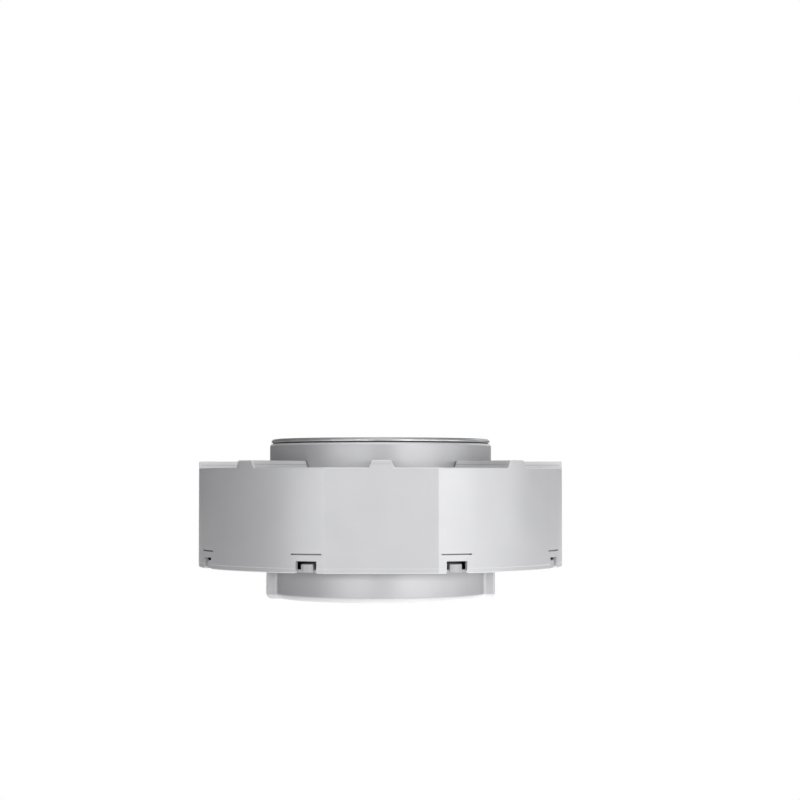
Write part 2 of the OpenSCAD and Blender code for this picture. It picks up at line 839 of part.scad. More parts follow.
module head_board_chips() {
    top = head_board_top;
    color(chip_black) {
        block([-5, -5, top], [5, 5, top + 1.1]);
        block([7.5, -4.5, top], [12.5, 1.5, top + 0.8]);
        block([-13, -3, top], [-7.5, 3, top + 0.8]);
        for (x = [-6, -2, 2, 6]) block([x - 1, 9, top], [x + 1, 12, top + 0.9]);
        block([-4, -14.6, top], [4, -12.4, top + 1.2]);
    }
}

module data_emitter() {
    color([0.75, 0.78, 0.8]) translate([0, 0, drum_floor_top + 0.1])
        cylinder(r = shaft_bore_r + 0.2, h = head_board_z - drum_floor_top - 0.1);
}

// ---- Optical bench ----

module optical_bench() {
    color([0.3, 0.3, 0.32]) translate([0, 0, bench_z]) difference() {
        cylinder(r = drum_in_r - slip, h = bench_t);
        bench_posts() translate([0, 0, -cut]) cylinder(r = screw_r + fit, h = bench_t + 2 * cut);
        translate([0, 0, -bench_top]) bracket_screw_places()
            translate([0, 0, -head_screw_len - 0.1 + bench_t])
            cylinder(r = screw_r + fit, h = 2 * bench_t);
    }
}

module light_baffle() {
    color(chip_black) block([0.3, optic_board_y, bench_top], [1, barrel_y1, optic_z + receiver_r]);
}

module counterweight() {
    color(brass) translate([0, 0, bench_top]) rotate([0, 0, 62])
        rotate_extrude(angle = 56) translate([15.6, 0]) square([4.2, 5]);
}

// A barrel lying along Y with a foot down to the bench
module barrel(x, r, y0) {
    difference() {
        union() {
            translate([x, y0, optic_z]) along_y() cylinder(r = r, h = barrel_y1 - y0);
            block([x - r * 0.6, y0, bench_top], [x + r * 0.6, barrel_y1 - 1, optic_z - r * 0.7]);
        }
        translate([x, y0 - cut, optic_z]) along_y()
            cylinder(r = r - barrel_wall, h = barrel_y1 - y0 + 2 * cut);
    }
}

// A lens with two domed faces, lying along Y behind the barrel's front end
module lens(x, r, thick, dome_r) {
    translate([x, barrel_y1 - 1.6, optic_z]) intersection() {
        translate([0, -thick / 2, 0]) along_y() cylinder(r = r, h = thick);
        translate([0, dome_r - thick / 2, 0]) sphere(r = dome_r, $fn = 200);
        translate([0, thick / 2 - dome_r, 0]) sphere(r = dome_r, $fn = 200);
    }
}

module laser_board() {
    color(board_green)
        block([1.4, optic_board_y, bench_top], [9.2, optic_board_front, optic_z + receiver_r]);
}

module receiver_board() {
    color(board_green)
        block([-9.8, optic_board_y, bench_top], [-0.2, optic_board_front, optic_z + receiver_r]);
}

module laser_diode() {
    color(brass) translate([laser_x, optic_board_front, optic_z]) along_y() {
        cylinder(r = laser_r - barrel_wall - 0.1, h = 0.6);
        cylinder(r = laser_r - barrel_wall - 0.6, h = 2.2);
    }
}

module receiver_detector() {
    color(chip_black)
        translate([receiver_x, 0, optic_z])
            block([-1.6, optic_board_front, -1.6], [1.6, optic_board_front + 0.9, 1.6]);
}

module laser_barrel() {
    color(dark_grey) barrel(laser_x, laser_r, optic_board_front + 0.8);
}

module receiver_barrel() {
    color(dark_grey) barrel(receiver_x, receiver_r, optic_board_front + 1);
}

module laser_lens() {
    color([0.75, 0.85, 0.9, 0.6]) lens(laser_x, laser_r - barrel_wall, 1.4, 6);
}

module receiver_lens() {
    color([0.75, 0.85, 0.9, 0.6]) lens(receiver_x, receiver_r - barrel_wall, 2.2, 11);
}

// ---- Scan mirror ----

// Moves its children onto the mirror's axis, lying along X
module on_mirror_axis(x) {
    translate([x, mirror_y, optic_z]) along_x() children();
}

module bracket_screw_places() {
    for (x = [-11.7, 10.7], dy = [-6.4, 6.2]) translate([x, mirror_y + dy, bench_top + 1]) children();
}

module mirror_brackets() {
    half = 3.6;
    foot_x0 = -1.4;
    color([0.45, 0.45, 0.47]) difference() {
        for (x = [bracket_left_x, bracket_right_x]) {
            block([x, mirror_y - half, bench_top], [x + bracket_t, mirror_y + half, optic_z + 2.6]);
            for (side = [-1, 1]) translate([x, mirror_y + side * (half + 2.1), bench_top])
                block([foot_x0, -2.2, 0], [bracket_t + 1.4, 2.2, 1]);
        }
        on_mirror_axis(bracket_left_x - cut) cylinder(r = bush_r, h = bracket_t + 2 * cut);
        on_mirror_axis(bracket_right_x - cut) cylinder(r = bush_r, h = bracket_t + 2 * cut);
        bracket_screw_places() translate([0, 0, -1 - cut]) cylinder(r = screw_r + fit, h = 1 + 2 * cut);
    }
}

module mirror_bushes() {
    color(brass) {
        on_mirror_axis(bracket_left_x) tube(mirror_shaft_r + bush_clearance, bush_r, bracket_t);
        on_mirror_axis(bracket_right_x) tube(mirror_shaft_r + bush_clearance, bush_r, 3.4);
    }
}

module mirror_motor_stator() {
    color([0.34, 0.35, 0.38]) on_mirror_axis(bell_x0 + 0.4) {
        tube(bush_r, bush_r + 0.4, 1.4);
        ring_of(mirror_teeth, 0) block([bush_r + 0.3, -0.25, 0], [mirror_stator_r, 0.25, 1.4]);
    }
}

module mirror_motor_coils() {
    color(copper) on_mirror_axis(bell_x0 + 0.4) ring_of(mirror_teeth, 0) difference() {
        block([2.1, -0.5, -0.2], [2.7, 0.5, 1.6]);
        block([2, -0.25 - fit, -fit], [2.8, 0.25 + fit, 1.4 + fit]);
    }
}

module mirror_prism() {
    color([0.85, 0.87, 0.9]) difference() {
        translate([mirror_x0, mirror_y, optic_z]) rotate([45, 0, 0])
            translate([0, -facet_w / 2, -facet_w / 2]) cube([mirror_len, facet_w, facet_w]);
        on_mirror_axis(mirror_x0 - cut) cylinder(r = mirror_shaft_r, h = mirror_len + 2 * cut);
    }
}

module mirror_shaft() {
    end_play = 0.4;
    color(steel) on_mirror_axis(bracket_left_x - end_play)
        cylinder(r = mirror_shaft_r, h = bell_x1 - bracket_left_x + 2 * end_play);
}

module mirror_motor_bell() {
    color(steel) difference() {
        on_mirror_axis(bell_x0) cylinder(r = bell_r, h = bell_x1 - bell_x0);
        on_mirror_axis(bell_x0 - cut) cylinder(r = bell_r - bell_wall, h = bell_x1 - bell_x0 - 0.5 + cut);
        on_mirror_axis(bell_x0) cylinder(r = mirror_shaft_r, h = bell_x1);
    }
}

module mirror_motor_magnet() {
    color(chip_black) on_mirror_axis(bell_x0 + 0.3)
        tube(bell_r - bell_wall - magnet_ring_t, bell_r - bell_wall, 1.6);
}

// ---- Cap ----

module bezel_ring() {
    edge = 0.3;
    color([0.82, 0.82, 0.84]) rotate_extrude() polygon([
        [window_r - 0.8, cap_z0], [spigot_r - 1, cap_z0], [spigot_r - 1, spigot_z], [spigot_r, spigot_z],
        [spigot_r, cap_z0], [cap_r - edge, cap_z0], [cap_r, cap_z0 + edge], [cap_r, cap_top - edge],
        [cap_r - edge, cap_top], [window_r + 0.05, cap_top], [window_r + 0.05, window_z],
        [window_r - 0.8, window_z]
    ]);
}

module bezel_gasket() {
    color(chip_black) translate([0, 0, drum_top]) tube(spigot_r + 0.05, cap_r - 0.3, cap_gap);
}

module window_glass() {
    color([0.05, 0.05, 0.06]) translate([0, 0, window_z]) cylinder(r = window_r, h = window_t);
}

base_housing();
base_gasket();
base_screws();
main_pcb();
main_board_chips();
socket_shell();
socket_pins();
link_header();
chassis_plate();
snap_ring();
outer_shell();
dust_seal();
chassis_screws();
motor_mount_ring();
stator_core();
stator_coils();
driver_pcb();
driver_board_chips();
encoder_reader();
bearing_housing();
bearing_outer_races();
bearing_inner_races();
bearing_balls();
bearing_cages();
hub_shaft();
shaft_clip();
lower_ferrite();
lower_coil();
upper_ferrite();
upper_coil();
drum_housing();
rotor_yoke();
rotor_magnets();
encoder_ring();
head_screws();
head_pcb();
head_board_chips();
data_emitter();
optical_bench();
light_baffle();
counterweight();
laser_board();
laser_diode();
laser_barrel();
laser_lens();
receiver_board();
receiver_detector();
receiver_barrel();
receiver_lens();
mirror_brackets();
mirror_bushes();
mirror_motor_stator();
mirror_motor_coils();
mirror_prism();
mirror_shaft();
mirror_motor_bell();
mirror_motor_magnet();
bezel_ring();
bezel_gasket();
window_glass();
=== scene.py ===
"""Looks of the lidar scanner module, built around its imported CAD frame.

Lengths in the outlines below are millimetres, and mm() turns them into Blender's metres.
Places come from the CAD nodes' boxes and from the sizes named here.
"""
import json
import math

import bmesh
import bpy
from mathutils import Matrix, Vector


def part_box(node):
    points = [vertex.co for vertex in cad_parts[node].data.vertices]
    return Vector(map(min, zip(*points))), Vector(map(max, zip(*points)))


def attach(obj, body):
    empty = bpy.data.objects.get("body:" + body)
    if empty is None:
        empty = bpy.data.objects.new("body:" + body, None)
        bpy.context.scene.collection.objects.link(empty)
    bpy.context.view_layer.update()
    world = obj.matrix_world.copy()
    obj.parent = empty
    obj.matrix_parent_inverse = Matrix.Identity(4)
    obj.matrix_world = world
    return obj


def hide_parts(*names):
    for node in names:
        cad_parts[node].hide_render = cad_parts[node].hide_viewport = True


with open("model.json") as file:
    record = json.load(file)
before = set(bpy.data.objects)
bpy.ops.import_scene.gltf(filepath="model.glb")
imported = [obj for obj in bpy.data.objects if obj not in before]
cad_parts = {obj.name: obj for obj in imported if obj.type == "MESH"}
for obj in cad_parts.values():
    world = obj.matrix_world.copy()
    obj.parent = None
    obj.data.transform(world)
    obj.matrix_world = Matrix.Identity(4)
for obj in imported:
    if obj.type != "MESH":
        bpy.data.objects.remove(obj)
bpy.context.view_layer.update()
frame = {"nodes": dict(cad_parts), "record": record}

MM = 0.001
NODES = frame["nodes"]
BODY_OF = {
    node: body
    for body, nodes in frame["record"]["behaviour"]["bodies"].items()
    for node in nodes
}
SLOT_OF = {entry["node"]: entry["material_slot"] for entry in frame["record"]["subparts"]}


def box_mm(node):
    """A CAD node's lowest and highest corners, in millimetres."""
    low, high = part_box(node)
    return low / MM, high / MM


def mm(x, y, z):
    return Vector((x, y, z)) * MM


def polar(radius, degrees):
    """A point in plan at a radius and an angle from +X."""
    angle = math.radians(degrees)
    return Vector((radius * math.cos(angle), radius * math.sin(angle)))


# ---------------------------------------------------------------- sizes

shell_low, shell_high = box_mm("outer_shell")
SHELL_R = shell_high.x
FLAT = -shell_low.y
SHELL_Z0 = shell_low.z
SPOKE_TOP = shell_high.z
WALL = 0.8
RIM_Z = 26.6
DECK_Z = 25.7
DECK_T = 1.0
OPENING_R = 23.2
SPOKES = 8
SECTOR = 360 / SPOKES
SPOKE_TOP_HALF = 1.95
SPOKE_RIM_HALF = 2.55
SLOT_HALF = 2.15
SLOT_TOP = 8.8
SHOULDER_R = 34.2
SHOULDER_H = 0.8
# Height and half-width of a painted shade line on the spoke flanks
FLANK_LINE_Z = 27.25
FLANK_LINE_HALF = 0.09
SLIT_HALF = 3.1
SLIT_Z = 9.98
SLIT_H = 0.24
SLIT_DEPTH = 0.35
PART_LINE_Z = 7.4
PART_LINE_STEP = 0.02
LUG_HALF = 6.4
LUG_BLEND = 0.9
LUG_CORNER = 0.35
BASE_EDGE = 1.2
BASE_FLOOR = 1.6
BASE_WALL = 1.5
MOUNT_R = 17
BOSS_R = 2.6
BASE_SCREW_X = 17.1
BASE_SCREW_Y = 5.6
BASE_POST_R = 2.3
HOOK_REACH = 37.3
HOOK_DEPTH = 2.3
HOOK_WIDTH = 2.5
SNAP_INNER_R = 33.5
DRUM_WALL = 1.2
DRUM_BORE_R = 1.5
STAND_AT_R = 18
HUB_SCREW_AT_R = 4.9
TAP_R = 0.82
SPIGOT_R = 21.65
GASKET_INNER_R = 21.7


# ---------------------------------------------------------------- outlines and meshes


def rounded(corners, steps=6, closed=True):
    """Rounds a path's corners. Each corner is (x, y) or (x, y, radius)."""
    out = []
    count = len(corners)
    for i, corner in enumerate(corners):
        here = Vector(corner[:2])
        radius = corner[2] if len(corner) > 2 else 0
        if radius == 0 or (not closed and i in (0, count - 1)):
            out.append(here)
            continue
        back = (Vector(corners[i - 1][:2]) - here).normalized()
        ahead = (Vector(corners[(i + 1) % count][:2]) - here).normalized()
        inside = back.angle(ahead)
        reach = radius / math.tan(inside / 2)
        centre = here + (back + ahead).normalized() * (radius / math.sin(inside / 2))
        first = here + back * reach - centre
        turn = first.angle_signed(here + ahead * reach - centre)
        for k in range(steps + 1):
            out.append(centre + Matrix.Rotation(-turn * k / steps, 2) @ first)
    return out


def new_piece(name, mesh_builder):
    """Makes an object from a bmesh that the builder fills, with its normals pointing outwards."""
    bm = bmesh.new()
    mesh_builder(bm)
    bmesh.ops.recalc_face_normals(bm, faces=bm.faces)
    mesh = bpy.data.meshes.new(name)
    bm.to_mesh(mesh)
    bm.free()
    obj = bpy.data.objects.new(name, mesh)
    bpy.context.scene.collection.objects.link(obj)
    return obj


def lathe(name, outline, segments=256):
    """Turns a closed outline of (radius, height) about the Z axis."""

    def build(bm):
        on_axis = [p[0] < 1e-6 for p in outline]
        axis_verts = [bm.verts.new(mm(0, 0, p[1])) if a else None for p, a in zip(outline, on_axis)]
        rings = []
        for k in range(segments):
            a = 2 * math.pi * k / segments
            rings.append([
                axis_verts[i] or bm.verts.new(mm(p[0] * math.cos(a), p[0] * math.sin(a), p[1]))
                for i, p in enumerate(outline)
            ])
        for k in range(segments):
            here, there = rings[k], rings[(k + 1) % segments]
            for i in range(len(outline)):
                j = (i + 1) % len(outline)
                corners = []
                for vert in (here[i], there[i], there[j], here[j]):
                    if vert not in corners:
                        corners.append(vert)
                if len(corners) > 2:
                    bm.faces.new(corners)

    return new_piece(name, build)


def prism(name, outline, z0, z1, edge=0.0, steps=4, place=None):
    """Stands a closed plan outline up between two heights, with its top and bottom edges rounded."""
    count = len(outline)
    normals = []
    for i in range(count):
        along = outline[(i + 1) % count] - outline[i - 1]
        normals.append(Vector((along.y, -along.x)).normalized())
    area = sum(outline[i - 1].cross(outline[i]) for i in range(count))
    if area < 0:
        normals = [-n for n in normals]
    rows = []
    for k in range(steps + 1 if edge else 1):
        a = math.pi / 2 * k / steps if edge else math.pi / 2
        rows.append((edge * (1 - math.sin(a)), z0 + edge * (1 - math.cos(a))))
    rows += [(inset, z0 + z1 - z) for inset, z in reversed(rows)]
    place = place or Matrix.Identity(4)

    def build(bm):
        rings = [
            [
                bm.verts.new(place @ mm(p.x - n.x * inset, p.y - n.y * inset, z))
                for p, n in zip(outline, normals)
            ]
            for inset, z in rows
        ]
        for low, high in zip(rings, rings[1:]):
            for i in range(count):
                j = (i + 1) % count
                bm.faces.new((low[i], low[j], high[j], high[i]))
        bm.faces.new(rings[0])
        bm.faces.new(rings[-1])

    return new_piece(name, build)


def round_outline(radius, count=64, x=0.0, y=0.0):
    """A circle about (x, y), as a closed outline."""
    turns = [2 * math.pi * k / count for k in range(count)]
    return [Vector((x + radius * math.cos(a), y + radius * math.sin(a))) for a in turns]


def carve(piece, tools, operation="DIFFERENCE"):
    """Applies exact booleans to a piece and removes the tools."""
    for tool in tools:
        modifier = piece.modifiers.new("carve", "BOOLEAN")
        modifier.operation = operation
        modifier.solver = "EXACT"
        modifier.object = tool
    bpy.context.view_layer.update()
    solid = piece.evaluated_get(bpy.context.evaluated_depsgraph_get())
    mesh = bpy.data.meshes.new_from_object(solid)
    piece.modifiers.clear()
    piece.data = mesh
    for tool in tools:
        bpy.data.objects.remove(tool)
    return piece


def smooth(piece, angle=32):
    """Shades a mesh smooth except across edges sharper than the angle."""
    mesh = piece.data
    for face in mesh.polygons:
        face.use_smooth = True
    mesh.set_sharp_from_angle(angle=math.radians(angle))


def dress(piece, node, material):
    """Makes a new piece stand for a CAD node: it gets the given material and that node's body, and the node
    is hidden.
    """
    piece.data.materials.clear()
    piece.data.materials.append(material)
    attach(piece, BODY_OF[node])
    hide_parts(node)
    smooth(piece)
    weighted = piece.modifiers.new("even shading", "WEIGHTED_NORMAL")
    weighted.keep_sharp = True
    return piece


# ---------------------------------------------------------------- materials


class Shader:
    """A small helper that builds one material's nodes."""

    def __init__(self, name, colour, metallic=0.0, roughness=0.5, **sockets):
        self.material = bpy.data.materials.new(name)
        self.material.use_nodes = True
        self.tree = self.material.node_tree
        self.bsdf = self.tree.nodes["Principled BSDF"]
        self.bsdf.inputs["Base Color"].default_value = (*colour, 1)
        self.bsdf.inputs["Metallic"].default_value = metallic
        self.bsdf.inputs["Roughness"].default_value = roughness
        for key, value in sockets.items():
            self.bsdf.inputs[key.replace("_", " ")].default_value = value
        self.colour = colour
        self.roughness = roughness
        self.object = self.node("ShaderNodeTexCoord").outputs["Object"]
        self.bumps = []

    def node(self, kind, **settings):
        made = self.tree.nodes.new(kind)
        for key, value in settings.items():
            setattr(made, key, value)
        return made

    def link(self, source, target):
        self.tree.links.new(source, target)

    def noise(self, size_mm, detail=3.0, stretch=(1, 1, 1), seed=0.0):
        """Noise whose grains are about size_mm across, as a value from 0 to 1."""
        mapping = self.node("ShaderNodeMapping")
        mapping.inputs["Scale"].default_value = [s / (size_mm * MM) for s in stretch]
        mapping.inputs["Location"].default_value = (seed, seed * 1.7, seed * 0.6)
        noise = self.node("ShaderNodeTexNoise")
        noise.inputs["Scale"].default_value = 1.0
        noise.inputs["Detail"].default_value = detail
        self.link(self.object, mapping.inputs["Vector"])
        self.link(mapping.outputs["Vector"], noise.inputs["Vector"])
        return noise.outputs["Fac"]

    def remap(self, value, low, high, from_low=0.3, from_high=0.7):
        remap = self.node("ShaderNodeMapRange")
        remap.inputs["From Min"].default_value = from_low
        remap.inputs["From Max"].default_value = from_high
        remap.inputs["To Min"].default_value = low
        remap.inputs["To Max"].default_value = high
        self.link(value, remap.inputs["Value"])
        return remap.outputs["Result"]

    def vary_colour(self, value, other, amount=1.0):
        """Mixes the base colour towards another as the value goes from 0 to 1."""
        mix = self.node("ShaderNodeMix", data_type="RGBA")
        mix.inputs["A"].default_value = (*self.colour, 1)
        mix.inputs["B"].default_value = (*other, 1)
        self.link(self.remap(value, 0.0, amount), mix.inputs["Factor"])
        self.link(mix.outputs["Result"], self.bsdf.inputs["Base Color"])

    def layer_colour(self, value, other):
        """Puts another colour over what already feeds the base colour, where the value is 1."""
        mix = self.node("ShaderNodeMix", data_type="RGBA")
        socket = self.bsdf.inputs["Base Color"]
        if socket.links:
            self.link(socket.links[0].from_socket, mix.inputs["A"])
        else:
            mix.inputs["A"].default_value = (*self.colour, 1)
        mix.inputs["B"].default_value = (*other, 1)
        self.link(value, mix.inputs["Factor"])
        self.link(mix.outputs["Result"], socket)

    def vary_roughness(self, value, spread):
        low, high = max(0.02, self.roughness - spread), self.roughness + spread
        self.link(self.remap(value, low, high), self.bsdf.inputs["Roughness"])

    def bump(self, value, depth_mm, strength=1.0):
        bump = self.node("ShaderNodeBump")
        bump.inputs["Distance"].default_value = depth_mm * MM
        bump.inputs["Strength"].default_value = strength
        self.link(value, bump.inputs["Height"])
        if self.bumps:
            self.link(self.bumps[-1].outputs["Normal"], bump.inputs["Normal"])
        self.bumps.append(bump)
        self.link(bump.outputs["Normal"], self.bsdf.inputs["Normal"])

    def math(self, operation, a, b=None):
        made = self.node("ShaderNodeMath", operation=operation)
        for socket, value in zip(made.inputs, (a, b)):
            if value is None:
                continue
            if isinstance(value, (int, float)):
                socket.default_value = value
            else:
                self.link(value, socket)
        return made.outputs[0]

    def axis(self, name):
        split = self.node("ShaderNodeSeparateXYZ")
        self.link(self.object, split.inputs[0])
        return split.outputs[name]

    def tilt(self, low, high):
        """A mask for painted highlight: 1 where the surface is tilted up or down by more than a little, 0
        on walls and level faces.
        """
        split = self.node("ShaderNodeSeparateXYZ")
        self.link(self.node("ShaderNodeTexCoord").outputs["Normal"], split.inputs[0])
        lean = self.math("ABSOLUTE", split.outputs["Z"])
        leaning = self.remap(lean, 0.0, 1.0, low, high)
        not_level = self.remap(lean, 1.0, 0.0, 0.97, 0.999)
        return self.math("MULTIPLY", leaning, not_level)

    def radius(self):
        x, y = self.axis("X"), self.axis("Y")
        squares = self.math("ADD", self.math("MULTIPLY", x, x), self.math("MULTIPLY", y, y))
        return self.math("SQRT", squares)

    def ridges(self, value, pitch_mm):
        """Turns a length into waves of the given pitch, from 0 to 1."""
        wave = self.math("SINE", self.math("MULTIPLY", value, 2 * math.pi / (pitch_mm * MM)))
        return self.math("ADD", self.math("MULTIPLY", wave, 0.5), 0.5)


def satin_silver(name="satin_silver"):
    """Bead-blasted metal with a clear silver-grey finish, with painted highlight that makes its sharp edges
    and its tilted slopes lighter.
    """
    s = Shader(name, (0.42, 0.42, 0.431), metallic=0.35, roughness=0.46)
    s.vary_colour(s.noise(9, detail=2), (0.4, 0.4, 0.414))
    # Painted highlight: sharp edges (high Pointiness) are coloured lighter, as if they were catching the
    # light
    edge = s.node("ShaderNodeNewGeometry").outputs["Pointiness"]
    s.layer_colour(s.remap(edge, 0.0, 0.35, 0.52, 0.62), (0.6, 0.6, 0.61))
    # Painted highlight: slopes tilted up or down are coloured lighter, standing in for the top light and
    # the glow from the floor below
    s.layer_colour(s.tilt(0.12, 0.34), (0.66, 0.66, 0.672))
    s.vary_roughness(s.noise(0.35, detail=4), 0.05)
    s.bump(s.noise(0.11, detail=3), 0.004, 0.35)
    return s


def satin_shell():
    """The same finish, with painted shade making the slits near black, and a painted dark line along the
    flanks of the spokes where a small step would cast shade.
    """
    s = satin_silver("satin_shell")
    height, out = s.axis("Z"), s.radius()
    # Painted shade: the engraved slits are coloured near black, as if they were in shadow
    slit = s.math("COMPARE", height, (SLIT_Z + SLIT_H / 2) * MM)
    slit.node.inputs[2].default_value = (SLIT_H / 2 + 0.01) * MM
    slit = s.math("MULTIPLY", slit, s.math("LESS_THAN", out, (SHELL_R - 0.04) * MM))
    slit = s.math("MULTIPLY", slit, s.math("GREATER_THAN", s.axis("Y"), (0.1 - FLAT) * MM))
    s.layer_colour(s.math("MULTIPLY", slit, 0.8), (0.06, 0.06, 0.062))
    # Painted shade: a dark line along the spoke flanks stands in for the shade under a small step that the
    # mesh lacks
    line = s.math("COMPARE", height, FLANK_LINE_Z * MM)
    line.node.inputs[2].default_value = FLANK_LINE_HALF * MM
    line = s.math("MULTIPLY", line, s.math("LESS_THAN", out, (SHELL_R - 0.35) * MM))
    s.layer_colour(s.math("MULTIPLY", line, 0.45), (0.3, 0.3, 0.308))
    return s.material


def polished_bezel():
    """Turned rim, smoother than the walls."""
    s = Shader("polished_bezel", (0.42, 0.42, 0.431), metallic=0.5, roughness=0.34)
    s.vary_roughness(s.noise(1.4, detail=4), 0.05)
    s.bump(s.noise(0.4, detail=3), 0.0008, 0.3)
    return s.material


def window_glass():
    """Dark glass that lets infrared through, with a faint violet cast."""
    s = Shader("window_glass", (0.012, 0.011, 0.016), roughness=0.06, IOR=1.52,
               Coat_Weight=1.0, Coat_Roughness=0.03)
    s.vary_colour(s.noise(14, detail=1), (0.018, 0.013, 0.024))
    s.vary_roughness(s.noise(3.0, detail=5), 0.03)
    s.bump(s.noise(6.0, detail=1), 0.0015, 0.2)
    return s.material


def black_metal():
    s = Shader("black_metal", (0.026, 0.026, 0.028), metallic=0.6, roughness=0.42)
    s.vary_colour(s.noise(5), (0.036, 0.036, 0.04))
    s.vary_roughness(s.noise(0.3, detail=4), 0.07)
    s.bump(s.noise(0.12), 0.004, 0.4)
    return s.material


def grey_metal():
    s = Shader("grey_metal", (0.3, 0.3, 0.32), metallic=0.85, roughness=0.38)
    s.vary_colour(s.noise(4), (0.24, 0.24, 0.26))
    s.vary_roughness(s.noise(0.5, detail=4), 0.07)
    s.bump(s.ridges(s.axis("X"), 0.22), 0.0012, 0.4)
    return s.material


def steel():
    s = Shader("steel", (0.58, 0.585, 0.6), metallic=1.0, roughness=0.26)
    s.vary_colour(s.noise(2.2), (0.5, 0.505, 0.52))
    s.vary_roughness(s.noise(0.25, detail=5, stretch=(1, 1, 6)), 0.09)
    s.bump(s.noise(0.08, stretch=(1, 1, 5)), 0.001, 0.4)
    return s.material


def laminations():
    """Stacked sheets of silicon steel, seen as fine lines across the height."""
    s = Shader("laminations", (0.24, 0.25, 0.28), metallic=0.8, roughness=0.42)
    sheets = s.ridges(s.axis("Z"), 0.2)
    s.vary_colour(sheets, (0.13, 0.135, 0.15), 0.7)
    s.vary_roughness(s.noise(0.6, detail=4), 0.08)
    s.bump(sheets, 0.01, 0.6)
    return s.material


def magnet_plate():
    s = Shader("magnet_plate", (0.66, 0.65, 0.63), metallic=1.0, roughness=0.24)
    s.vary_roughness(s.noise(0.6, detail=5), 0.08)
    s.vary_colour(s.noise(1.5), (0.58, 0.57, 0.55))
    s.bump(s.noise(0.3), 0.0015, 0.3)
    return s.material


def copper():
    """Enamelled winding wire, seen as close parallel turns."""
    s = Shader("copper", (0.66, 0.27, 0.1), metallic=0.9, roughness=0.3,
               Coat_Weight=0.6, Coat_Roughness=0.15)
    turns = s.ridges(s.math("ADD", s.radius(), s.math("MULTIPLY", s.axis("Z"), 0.25)), 0.28)
    s.vary_colour(turns, (0.34, 0.12, 0.045), 0.65)
    s.bump(turns, 0.05, 0.7)
    s.vary_roughness(s.noise(0.8, detail=4), 0.07)
    return s.material


def ferrite():
    s = Shader("ferrite", (0.06, 0.06, 0.065), roughness=0.55)
    s.vary_colour(s.noise(0.5, detail=6), (0.1, 0.1, 0.105))
    s.vary_roughness(s.noise(0.9, detail=4), 0.1)
    s.bump(s.noise(0.16, detail=5), 0.006, 0.6)
    return s.material


def brass():
    s = Shader("brass", (0.7, 0.5, 0.2), metallic=1.0, roughness=0.27)
    s.vary_colour(s.noise(1.6), (0.6, 0.4, 0.15))
    s.vary_roughness(s.noise(0.3, detail=5), 0.08)
    s.bump(s.ridges(s.radius(), 0.12), 0.001, 0.4)
    return s.material


def plastic(name, colour, other, roughness, grain_mm=0.22):
    """Moulded plastic with a fine spark-eroded grain."""
    s = Shader(name, colour, roughness=roughness, Specular_IOR_Level=0.45)
    s.vary_colour(s.noise(3.5), other)
    s.vary_roughness(s.noise(0.5, detail=4), 0.06)
    s.bump(s.noise(grain_mm, detail=4), 0.006, 0.5)
    return s.material


def rubber_black():
    s = Shader("rubber_black", (0.022, 0.022, 0.023), roughness=0.72, Sheen_Weight=0.15)
    s.vary_colour(s.noise(1.8, detail=4), (0.035, 0.035, 0.036))
    s.vary_roughness(s.noise(0.5, detail=4), 0.08)
    s.bump(s.noise(0.18, detail=5), 0.006, 0.5)
    return s.material


def board():
    """Solder mask over copper tracks: a stepped pattern that is raised and paler."""
    s = Shader("board", (0.012, 0.1, 0.045), roughness=0.32, Coat_Weight=0.5, Coat_Roughness=0.12)
    bricks = s.node("ShaderNodeTexBrick")
    bricks.inputs["Scale"].default_value = 1 / (2.6 * MM)
    bricks.inputs["Mortar Size"].default_value = 0.06
    bricks.inputs["Color1"].default_value = (0, 0, 0, 1)
    bricks.inputs["Color2"].default_value = (0, 0, 0, 1)
    bricks.inputs["Mortar"].default_value = (1, 1, 1, 1)
    s.link(s.object, bricks.inputs["Vector"])
    tracks = bricks.outputs["Fac"]
    s.vary_colour(s.noise(2.5), (0.014, 0.12, 0.055))
    s.layer_colour(s.math("MULTIPLY", tracks, 0.7), (0.035, 0.2, 0.08))
    s.vary_roughness(s.noise(0.7, detail=4), 0.06)
    s.bump(tracks, 0.02, 0.5)
    return s.material


def chips():
    s = Shader("chips", (0.024, 0.024, 0.026), roughness=0.5)
    s.vary_colour(s.noise(1.2, detail=4), (0.04, 0.04, 0.042))
    s.vary_roughness(s.noise(0.3, detail=4), 0.09)
    s.bump(s.noise(0.09, detail=4), 0.005, 0.5)
    return s.material


def lens_glass():
    """Coated glass with a faint green cast."""
    s = Shader("lens_glass", (0.93, 0.98, 0.96), roughness=0.03, IOR=1.6, Transmission_Weight=0.92,
               Coat_Weight=0.5, Coat_Roughness=0.02)
    s.vary_colour(s.noise(5.0, detail=1), (0.9, 0.97, 0.98))
    s.vary_roughness(s.noise(1.0, detail=4), 0.015)
    return s.material


def mirror():
    s = Shader("mirror", (0.9, 0.91, 0.93), metallic=1.0, roughness=0.04)
    s.vary_roughness(s.noise(2.5, detail=5), 0.02)
    s.vary_colour(s.noise(6.0, detail=1), (0.86, 0.88, 0.92))
    s.bump(s.noise(4.0, detail=1), 0.0004, 0.2)
    return s.material


def code_ring():
    """A magnetised code ring: its poles show faintly round it."""
    s = Shader("code_ring", (0.05, 0.05, 0.055), roughness=0.5)
    angle = s.math("ARCTAN2", s.axis("Y"), s.axis("X"))
    poles = s.math("ADD", s.math("MULTIPLY", s.math("SINE", s.math("MULTIPLY", angle, 64.0)), 0.5), 0.5)
    s.vary_colour(poles, (0.11, 0.11, 0.115), 0.8)
    s.vary_roughness(s.noise(0.4, detail=4), 0.08)
    s.bump(s.noise(0.2, detail=4), 0.004, 0.5)
    return s.material


